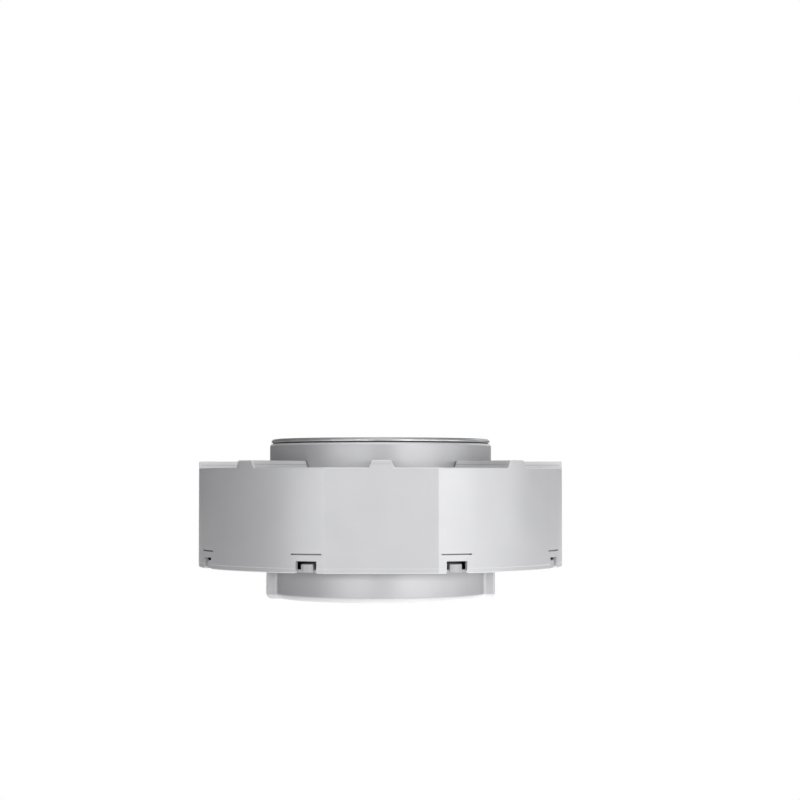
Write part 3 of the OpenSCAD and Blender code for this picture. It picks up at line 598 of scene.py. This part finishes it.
MATERIALS = {
    "satin_silver": satin_silver().material,
    "satin_shell": satin_shell(),
    "polished_bezel": polished_bezel(),
    "window_glass": window_glass(),
    "black_metal": black_metal(),
    "grey_metal": grey_metal(),
    "grey_plastic": plastic("grey_plastic", (0.36, 0.36, 0.365), (0.33, 0.33, 0.335), 0.48),
    "black_plastic": plastic("black_plastic", (0.022, 0.022, 0.024), (0.032, 0.032, 0.034), 0.5),
    "ivory_plastic": plastic("ivory_plastic", (0.72, 0.68, 0.56), (0.68, 0.63, 0.5), 0.42),
    "rubber_black": rubber_black(),
    "board": board(),
    "chips": chips(),
    "steel": steel(),
    "laminations": laminations(),
    "magnet_plate": magnet_plate(),
    "copper": copper(),
    "ferrite": ferrite(),
    "brass": brass(),
    "lens_glass": lens_glass(),
    "mirror": mirror(),
    "code_ring": code_ring(),
}


# ---------------------------------------------------------------- outer shell


def spoke_half_width(z):
    return SPOKE_RIM_HALF + (RIM_Z - z) * (SPOKE_RIM_HALF - SPOKE_TOP_HALF) / (SPOKE_TOP - RIM_Z)


def spoke_section():
    """Half of a spoke's cross-section: (sideways, height) from its middle out to the deck."""
    foot = spoke_half_width(DECK_Z)
    path = rounded([
        (0, SPOKE_TOP), (SPOKE_TOP_HALF, SPOKE_TOP, 0.16), (foot, DECK_Z, 0.3), (foot + 0.6, DECK_Z)
    ], steps=6, closed=False)
    out = []
    for here, there in zip(path, path[1:]):
        out.append(here)
        gap = (there - here).length
        for k in range(1, max(1, round(gap / 0.3))):
            out.append(here.lerp(there, k / max(1, round(gap / 0.3))))
    return out + [path[-1]]


def smooth_max(a, b, blend):
    """The larger of two heights, with the step between them filleted over the blend."""
    if blend <= 0:
        return max(a, b)
    return max(a, b) + max(blend - abs(a - b), 0) ** 2 / (4 * blend)


def smooth_min(a, b, blend):
    return -smooth_max(-a, -b, blend)


def pull_to_flat(rho, angle):
    """Moves a radius in to the shell's flat. The angle is measured from -Y, in radians."""
    angle = abs((angle + math.pi) % (2 * math.pi) - math.pi)
    if angle > math.radians(SECTOR):
        return rho
    still, wall = 33.0, SHELL_R - WALL - 0.3
    depth = SHELL_R - FLAT
    if rho <= still:
        return rho
    share = min(1.0, (rho - still) / (wall - still))
    return smooth_min(rho, (rho - depth * share) / math.cos(angle), 0.02)


def column_angles():
    """Half a sector's pocket columns, as degrees from the spoke's middle, and the edges among them."""
    foot = spoke_section()[-1].x
    start = math.degrees(math.asin(foot / SHELL_R))
    flat_edge = math.degrees(math.acos(FLAT / SHELL_R))
    slit_edge = SECTOR / 2 - math.degrees(math.asin(SLIT_HALF / SHELL_R))
    slot_edge = SECTOR / 2 - math.degrees(math.asin(SLOT_HALF / SHELL_R))
    angles = [start + (flat_edge - start) * f for f in (0.1, 0.25, 0.42, 0.58, 0.74, 0.88, 0.96)]
    angles += [flat_edge - 0.15, flat_edge, flat_edge + 0.15, flat_edge + 0.4]
    angles += [slit_edge - 0.1, slit_edge, slit_edge + 0.35, slot_edge - 0.5, slot_edge - 0.12, slot_edge]
    angles += [slot_edge + (SECTOR / 2 - slot_edge) * f for f in (0.33, 0.66)]
    return start, angles, slot_edge, slit_edge


def arc(cx, cy, radius, first, last, steps):
    """Points of an arc, with angles in degrees."""
    return [
        (cx + radius * math.cos(math.radians(first + (last - first) * k / steps)),
         cy + radius * math.sin(math.radians(first + (last - first) * k / steps)))
        for k in range(steps + 1)
    ]


# Heights of the wall's rows from the top of a hook slot down, with two close rows at the part line
LOW_ROWS = [
    SLOT_TOP, 8.3, 7.9, 7.5, PART_LINE_Z + 0.02, PART_LINE_Z - 0.02, 7.3, 7.05, 6.95, 6.86, 6.78, 6.72
]


def shell_column(spoke_z):
    """The shell's closed cross-section at one column, and the rows that bound a hook slot."""
    under = DECK_Z - DECK_T
    edge, inner = 0.22, SHELL_R - WALL
    rim = smooth_max(spoke_z, RIM_Z, 0.2)
    rows = [(OPENING_R, under)]
    rows += arc(OPENING_R + edge, spoke_z - edge, edge, 180, 90, 4)
    rows += [(rho, spoke_z) for rho in (24.2, 26, 28.5, 31, 33.5, 35.2)]
    lip = rounded([
        (35.9, DECK_Z), (inner, DECK_Z, 0.22), (inner, RIM_Z, 0.16), (inner + 0.3, RIM_Z)
    ], 4, False)
    for rho, z in lip:
        blend = 0.25 * (z - DECK_Z) / (RIM_Z - DECK_Z)
        rows.append((rho, smooth_max(spoke_z, z, blend)))
    rows += arc(SHELL_R - edge, rim - edge, edge, 90, 0, 5)
    rows += [(SHELL_R, z) for z in (26.2, 24.5, 22, 19, 16, 13, 11)]
    rows += [(SHELL_R, z) for z in (SLIT_Z + SLIT_H + 0.02, SLIT_Z + SLIT_H, SLIT_Z, SLIT_Z - 0.02)]
    rows += [(SHELL_R, 9.5), (SHELL_R, 9.0)]
    slot_first = len(rows)
    rows += [(SHELL_R - (PART_LINE_STEP if z < PART_LINE_Z else 0), z) for z in LOW_ROWS]
    foot = 0.16
    rows += arc(SHELL_R - PART_LINE_STEP - foot, SHELL_Z0 + foot, foot, 0, -90, 5)
    rows += arc(inner + 0.08, SHELL_Z0 + 0.08, 0.08, 270, 180, 3)
    rows += [(inner, z) for z in reversed(LOW_ROWS)]
    slot_last = len(rows) - 1
    shoulder_top = SLOT_TOP + SHOULDER_H
    rows += [(SHOULDER_R, SLOT_TOP), (SHOULDER_R, shoulder_top), (inner, shoulder_top)]
    rows += [(inner, 12), (inner, 17), (inner, 22), (inner, under)]
    rows += [(34, under), (29, under), (25, under)]
    return rows, slot_first, slot_last


def shell_columns():
    """Every column round the shell: (spoke angle, kind, value, height).

    The value is a sideways offset in mm on a spoke, and an angle from the spoke in a pocket.
    """
    start, angles, slot_edge, _ = column_angles()
    section = spoke_section()
    side = [("pocket", a, DECK_Z) for a in angles]
    half = [("spoke", p.x, p.y) for p in section]
    one_sector = [(kind, -value, z) for kind, value, z in reversed(side)]
    one_sector += [(kind, -value, z) for kind, value, z in reversed(half[1:])]
    one_sector += half + side + [("pocket", SECTOR / 2, DECK_Z)]
    return start, slot_edge, [
        (k * SECTOR, kind, value, z) for k in range(SPOKES) for kind, value, z in one_sector
    ]


def build_shell(bm):
    start, slot_edge, columns = shell_columns()
    _, _, _, slit_edge = column_angles()
    foot = spoke_section()[-1].x
    half_sector = SECTOR / 2
    corner_far, corner_near = 0.5, 0.16
    blend = 2.4
    grid = []
    in_slot = []
    for spoke_angle, kind, value, top in columns:
        rows, slot_first, slot_last = shell_column(top)
        in_slot.append(kind == "pocket" and abs(value) >= slot_edge - 1e-6)
        # The slot's lower corner on the side away from the flat has the larger radius
        slot_side = math.copysign(1, value) if kind == "pocket" else 1
        slot_at = spoke_angle + slot_side * half_sector
        from_front = math.copysign(1, (slot_at + 180) % 360 - 180)
        corner = corner_far if slot_side != from_front else corner_near
        column = []
        for index, (rho, z) in enumerate(rows):
            if kind == "spoke":
                turn = math.asin(max(-1, min(1, value / rho)))
            else:
                inner_turn = math.asin(foot / rho)
                share = (abs(value) - start) / (half_sector - start)
                turn = math.copysign(inner_turn + share * (math.radians(half_sector) - inner_turn), value)
            near_slot = kind == "pocket" and slot_edge - blend < abs(value) <= slot_edge + 1e-6
            if near_slot and slot_first <= index <= slot_last and z < SHELL_Z0 + corner:
                rise = corner - (z - SHELL_Z0)
                shift = corner - math.sqrt(max(0.0, corner ** 2 - rise ** 2))
                weight = 1 - (slot_edge - abs(value)) / blend
                turn -= math.copysign(shift * weight / SHELL_R, value)
            on_wall = abs(rho - SHELL_R) < 1e-6
            in_slit = kind == "pocket" and abs(value) >= slit_edge - 1e-6
            if on_wall and in_slit and SLIT_Z - 0.001 <= z <= SLIT_Z + SLIT_H + 0.001:
                rho -= SLIT_DEPTH
            angle = math.radians(spoke_angle) + turn
            rho = pull_to_flat(rho, angle)
            column.append(bm.verts.new(mm(rho * math.sin(angle), -rho * math.cos(angle), z)))
        grid.append(column)
    count, height = len(grid), len(grid[0])
    for i in range(count):
        j = (i + 1) % count
        slot_here = in_slot[i] and in_slot[j]
        for r in range(height):
            s = (r + 1) % height
            if slot_here and slot_first <= r < slot_last:
                continue
            bm.faces.new((grid[i][r], grid[i][s], grid[j][s], grid[j][r]))
        if slot_here:
            bm.faces.new((
                grid[i][slot_first], grid[i][slot_last], grid[j][slot_last], grid[j][slot_first]
            ))
        if in_slot[i] and not (in_slot[i - 1] and in_slot[j]):
            low, high = slot_first, slot_last
            for _ in range(len(LOW_ROWS) - 1):
                bm.faces.new((grid[i][low], grid[i][low + 1], grid[i][high - 1], grid[i][high]))
                low, high = low + 1, high - 1
            bm.faces.new([grid[i][r] for r in range(low, high + 1)])
    bmesh.ops.remove_doubles(bm, verts=bm.verts, dist=1e-7)


dress(new_piece("shell", build_shell), "outer_shell", MATERIALS["satin_shell"])


# ---------------------------------------------------------------- snap ring


def hook_outline(width, depth):
    """A hook seen from above, pointing along +X, with bevelled outer corners."""
    half = width / 2
    return rounded([
        (-depth, -half), (-0.36, -half, 0.1), (0, -half * 0.42, 0.12), (0, half * 0.42, 0.12),
        (-0.36, half, 0.1), (-depth, half)
    ], steps=3)


def make_snap_ring():
    low, high = box_mm("snap_ring")
    outer, inner = high.x, SNAP_INNER_R
    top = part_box("chassis_plate")[0].z / MM
    ring = lathe("snap_ring_body", rounded([
        (inner, low.z, 0.1), (outer, low.z, 0.1), (outer, top, 0.05), (inner, top, 0.05)
    ], steps=3), 256)
    hooks = []
    for k in range(SPOKES):
        turn = Matrix.Rotation(math.radians(SECTOR * (k + 0.5)), 4, "Z")
        place = turn @ Matrix.Translation(mm(HOOK_REACH, 0, 0))
        plan = hook_outline(HOOK_WIDTH, HOOK_DEPTH)
        hooks.append(prism(f"hook_{k}", plan, low.z + 0.02, high.z, 0.16, 4, place))
    carve(ring, hooks, "UNION")
    beyond_flat = [Vector(p) for p in ((-30, -60), (30, -60), (30, low.y), (-30, low.y))]
    flat = prism("flat_cut", beyond_flat, 0, 20)
    carve(ring, [flat])
    ring.name = "snap_ring_moulding"
    return ring


dress(make_snap_ring(), "snap_ring", MATERIALS["grey_plastic"])


# ---------------------------------------------------------------- base


def base_outline(inset):
    """The base's plan: a circle with a lug at each side, blended in by a small hollow curve."""
    _, high = box_mm("base_housing")
    radius, reach, half = high.y - inset, high.x - inset, LUG_HALF - inset
    blend, corner = LUG_BLEND + inset, max(LUG_CORNER - inset, 0.02)
    centre = Vector((math.sqrt((radius + blend) ** 2 - (half + blend) ** 2), half + blend))
    first = math.degrees(math.atan2(centre.y, centre.x))
    quarter = [Vector(p) for p in arc(0, 0, radius, 90, first, 40)]
    quarter += [Vector(p) for p in arc(centre.x, centre.y, blend, first + 180, 270, 8)][1:]
    quarter += [Vector(p) for p in arc(reach - corner, half - corner, corner, 90, 0, 6)]
    quarter += [Vector((reach, half * f)) for f in (0.6, 0.2)]
    right = quarter + [Vector((p.x, -p.y)) for p in reversed(quarter)]
    left = [Vector((-p.x, p.y)) for p in reversed(right)]
    return right + left[1:-1]


def base_block(z0, z1, edge, steps=8):
    """The solid base: upright sides with a rounded bottom edge."""
    rows = [(0.0, z1)]
    for k in range(steps + 1):
        a = math.pi / 2 * k / steps
        rows.append((edge * (1 - math.cos(a)), z0 + edge * (1 - math.sin(a))))

    def build(bm):
        rings = [[bm.verts.new(mm(p.x, p.y, z)) for p in base_outline(inset)] for inset, z in rows]
        for high, low in zip(rings, rings[1:]):
            for i in range(len(high)):
                j = (i + 1) % len(high)
                bm.faces.new((high[i], high[j], low[j], low[i]))
        bm.faces.new(rings[0])
        bm.faces.new(rings[-1])

    return new_piece("base", build)


def make_base():
    low, high = box_mm("base_housing")
    radius, top = high.y, high.z
    base = base_block(low.z, top, BASE_EDGE)
    floor, inner = BASE_FLOOR, radius - BASE_WALL
    cavity = lathe("cavity", [
        (0, floor), (inner - 1, floor), (inner - 1, floor + 1), (inner, floor + 1),
        (inner, top + 1), (0, top + 1)
    ], 192)
    carve(base, [cavity])
    posts = []
    mounts = [polar(MOUNT_R, 45 + 90 * k) for k in range(4)]
    screws = [Vector((sx * BASE_SCREW_X, sy * BASE_SCREW_Y)) for sx in (-1, 1) for sy in (-1, 1)]
    for i, at in enumerate(mounts):
        posts.append(prism(f"boss_{i}", round_outline(BOSS_R, 48, at.x, at.y), 0.8, 5.6, 0.1, 2))
    for i, at in enumerate(screws):
        posts.append(prism(f"post_{i}", round_outline(BASE_POST_R, 48, at.x, at.y), 0.8, top - 0.01))
    carve(base, posts, "UNION")
    holes = []
    for i, at in enumerate(mounts):
        holes.append(lathe_at(f"hole_{i}", at, [
            (0, -1), (1.75, -1), (1.75, 0), (1.25, 0.45), (1.25, 5), (0, 5.4)
        ]))
    for i, at in enumerate(screws):
        holes.append(lathe_at(f"pocket_{i}", at, [
            (0, -1), (2.15, -1), (2.15, 0), (2.0, 0.15), (2.0, 1.4), (1.02, 1.4),
            (1.02, top + 1), (0, top + 1)
        ]))
    socket_low, socket_high = box_mm("socket_shell")
    gap = 0.1
    holes.append(prism("socket_opening", rounded([
        (socket_low.x - gap, socket_low.y), (socket_high.x + gap, socket_low.y),
        (socket_high.x + gap, radius + 2), (socket_low.x - gap, radius + 2)
    ]), socket_low.z, socket_high.z + gap))
    gasket_low, _ = box_mm("base_gasket")
    holes.append(lathe("gasket_groove", [
        (inner + 0.35, gasket_low.z), (inner + 1.05, gasket_low.z),
        (inner + 1.05, top + 1), (inner + 0.35, top + 1)
    ], 192))
    carve(base, holes)
    return base


def lathe_at(name, at, outline, segments=48):
    piece = lathe(name, outline, segments)
    for vert in piece.data.vertices:
        vert.co += mm(at.x, at.y, 0)
    return piece


dress(make_base(), "base_housing", MATERIALS["satin_silver"])


# ---------------------------------------------------------------- drum and cap


def bore(name, at, z0, z1):
    """A cutter for one tapped hole."""
    return lathe_at(name, at, [(0, z0), (TAP_R, z0), (TAP_R, z1), (0, z1)], 32)


def make_drum():
    low, high = box_mm("drum_housing")
    radius, inner = high.x, high.x - DRUM_WALL
    floor = low.z + DRUM_WALL
    ledge = box_mm("optical_bench")[0].z
    drum = lathe("drum", rounded([
        (DRUM_BORE_R, low.z), (radius, low.z, 0.1), (radius, high.z - 0.36, 0.08),
        (radius - 0.3, high.z, 0.08), (inner, high.z, 0.12), (inner, ledge),
        (inner - 1.1, ledge), (inner - 1.1, floor), (DRUM_BORE_R, floor)
    ], steps=7), 288)
    board_z = box_mm("head_pcb")[0].z
    posts, holes = [], []
    for i, angle in enumerate((30, 150, 270)):
        at = polar(STAND_AT_R, angle)
        posts.append(prism(f"step_{i}", round_outline(2.75, 47, at.x, at.y), low.z + 0.4, board_z))
        posts.append(prism(f"stand_{i}", round_outline(2.0, 48, at.x, at.y), low.z + 0.5, ledge - 0.01))
        holes.append(bore(f"tap_{i}", at, board_z + 0.3, ledge + 1))
    for i in range(4):
        holes.append(bore(f"hub_{i}", polar(HUB_SCREW_AT_R, 45 + 90 * i), low.z - 1, floor + 1))
    carve(drum, posts, "UNION")
    carve(drum, holes)
    return drum


dress(make_drum(), "drum_housing", MATERIALS["satin_silver"])


def make_bezel():
    """The cap's rim: a rounded outer edge, a lip under the glass and a spigot down into the drum."""
    low, high = box_mm("bezel_ring")
    radius, glass_r = high.x, box_mm("window_glass")[1].x
    under = box_mm("bezel_gasket")[1].z
    seat = box_mm("window_glass")[0].z
    return lathe("bezel", rounded([
        (glass_r - 0.8, under), (SPIGOT_R - 1, under), (SPIGOT_R - 1, low.z, 0.1),
        (SPIGOT_R, low.z, 0.1), (SPIGOT_R, under),
        (radius, under, 0.12), (radius, high.z, 0.5), (glass_r + 0.05, high.z, 0.1), (glass_r + 0.05, seat),
        (glass_r - 0.8, seat)
    ], steps=8), 288)


dress(make_bezel(), "bezel_ring", MATERIALS["polished_bezel"])


def make_window():
    low, high = box_mm("window_glass")
    return lathe("window", rounded([
        (0, low.z), (high.x, low.z, 0.05), (high.x, high.z, 0.12), (0, high.z)
    ], steps=5), 256)


dress(make_window(), "window_glass", MATERIALS["window_glass"])


def make_gasket():
    low, high = box_mm("bezel_gasket")
    return lathe("cap_gasket", rounded([
        (GASKET_INNER_R, low.z, 0.04), (high.x, low.z, 0.08),
        (high.x, high.z, 0.08), (GASKET_INNER_R, high.z, 0.04)
    ], steps=4), 256)


dress(make_gasket(), "bezel_gasket", MATERIALS["rubber_black"])


# ---------------------------------------------------------------- carried-over CAD nodes

REPLACED = {
    "outer_shell", "snap_ring", "base_housing", "drum_housing", "bezel_ring", "window_glass", "bezel_gasket"
}
# Round balls and lenses need no bevel, and the finest pieces get a finer one
NO_BEVEL = {"bearing_balls", "laser_lens", "receiver_lens", "data_emitter", "bearing_cages", "shaft_clip"}
FINE = {"mirror_motor_stator", "mirror_motor_coils", "mirror_motor_magnet", "socket_pins", "base_gasket"}


def finish_node(name, obj):
    """Gives a CAD node its material and, for most nodes, softened edges."""
    material = MATERIALS[SLOT_OF[name]]
    if obj.data.materials:
        for i in range(len(obj.data.materials)):
            obj.material_slots[i].material = material
    else:
        obj.data.materials.append(material)
    weld = obj.modifiers.new("weld", "WELD")
    weld.merge_threshold = 1e-7
    if name not in NO_BEVEL:
        bevel = obj.modifiers.new("soft edges", "BEVEL")
        bevel.width = (0.02 if name in FINE else 0.06) * MM
        bevel.segments = 2
        bevel.limit_method = "ANGLE"
        bevel.angle_limit = math.radians(40)
        bevel.harden_normals = True


for name, obj in NODES.items():
    if name not in REPLACED:
        finish_node(name, obj)


# ---------------------------------------------------------------- floor, light and camera


FLOOR_GLOW_LEFT = 0.38
FLOOR_GLOW_RIGHT = 1.0


def make_floor():
    """A white table, lit from within a little more on the right, as from a lamp beneath it.

    It lights the object but the camera doesn't see it.
    """

    def build(bm):
        reach, drop = 1.3, 0.0002
        bm.faces.new([
            bm.verts.new((x * reach, y * reach, -drop)) for x, y in ((-1, -1), (1, -1), (1, 1), (-1, 1))
        ])

    floor = new_piece("floor", build)
    s = Shader("floor", (0.9, 0.9, 0.9), roughness=0.9, Emission_Color=(1, 1, 1, 1))
    glow = s.node("ShaderNodeMapRange", interpolation_type="SMOOTHSTEP")
    s.link(s.axis("X"), glow.inputs["Value"])
    for socket, value in zip(glow.inputs[1:5], (-0.06, 0.06, FLOOR_GLOW_LEFT, FLOOR_GLOW_RIGHT)):
        socket.default_value = value
    s.link(glow.outputs["Result"], s.bsdf.inputs["Emission Strength"])
    floor.data.materials.append(s.material)
    floor.visible_camera = False


def area_light(name, azimuth, elevation, distance, size, power):
    """A soft box aimed at the object. Azimuth 0 is in front, at -Y, and 90 is on the right."""
    turn, rise = math.radians(azimuth), math.radians(elevation)
    flat = math.cos(rise)
    place = Vector((math.sin(turn) * flat, -math.cos(turn) * flat, math.sin(rise))) * distance
    data = bpy.data.lights.new(name, "AREA")
    data.shape = "RECTANGLE"
    data.size, data.size_y = size
    data.energy = power
    lamp = bpy.data.objects.new(name, data)
    bpy.context.scene.collection.objects.link(lamp)
    lamp.location = place
    lamp.rotation_mode = "QUATERNION"
    lamp.rotation_quaternion = (Vector((0, 0, 0.018)) - place).to_track_quat("-Z", "Y")
    lamp.visible_camera = False


make_floor()

# Low soft boxes round the front, strongest a little to the right: (azimuth, watts)
FRONT = ((-75, 0.1), (-45, 1.85), (-20, 2.95), (25, 3.65), (50, 2.65), (80, 1.4))
for i, (azimuth, power) in enumerate(FRONT):
    area_light(f"front_{i}", azimuth, 4.6, 1.2, (0.35, 0.15), power)
area_light("top", 175, 86, 1.4, (1.2, 1.2), 8.0)
area_light("front_high", 0, 38, 1.2, (0.5, 0.5), 2.3)
area_light("back_right", 135, 21.4, 1.37, (0.6, 0.5), 2.0)
area_light("back", 180, 12, 1.3, (1.0, 0.3), 1.5)

# A white surround that only the camera sees: all the light comes from the lamps and the table
world = bpy.data.worlds.new("studio")
bpy.context.scene.world = world
world.use_nodes = True
world.node_tree.nodes["Background"].inputs["Color"].default_value = (1, 1, 1, 1)
world.node_tree.nodes["Background"].inputs["Strength"].default_value = 1.0
for ray in ("diffuse", "glossy", "transmission", "scatter"):
    setattr(world.cycles_visibility, ray, False)

bpy.context.scene.view_settings.view_transform = "Standard"

# The camera stands almost level with the shell's upper half, a little over 5 shell widths away
CAMERA_DISTANCE = 0.405
CAMERA_HEIGHT = 0.0242
CAMERA_AROUND = -0.3
PITCH = 2.35
YAW = -0.57
LENS = 87.7

camera_data = bpy.data.cameras.new("camera")
camera_data.lens = LENS
camera_data.sensor_width = 36
camera_data.clip_start = 0.01
camera_data.clip_end = 30
camera = bpy.data.objects.new("camera", camera_data)
bpy.context.scene.collection.objects.link(camera)
around = math.radians(CAMERA_AROUND)
camera.location = (CAMERA_DISTANCE * math.sin(around), -CAMERA_DISTANCE * math.cos(around), CAMERA_HEIGHT)
camera.rotation_euler = (math.radians(90 + PITCH), 0, around + math.radians(YAW))
bpy.context.scene.camera = camera
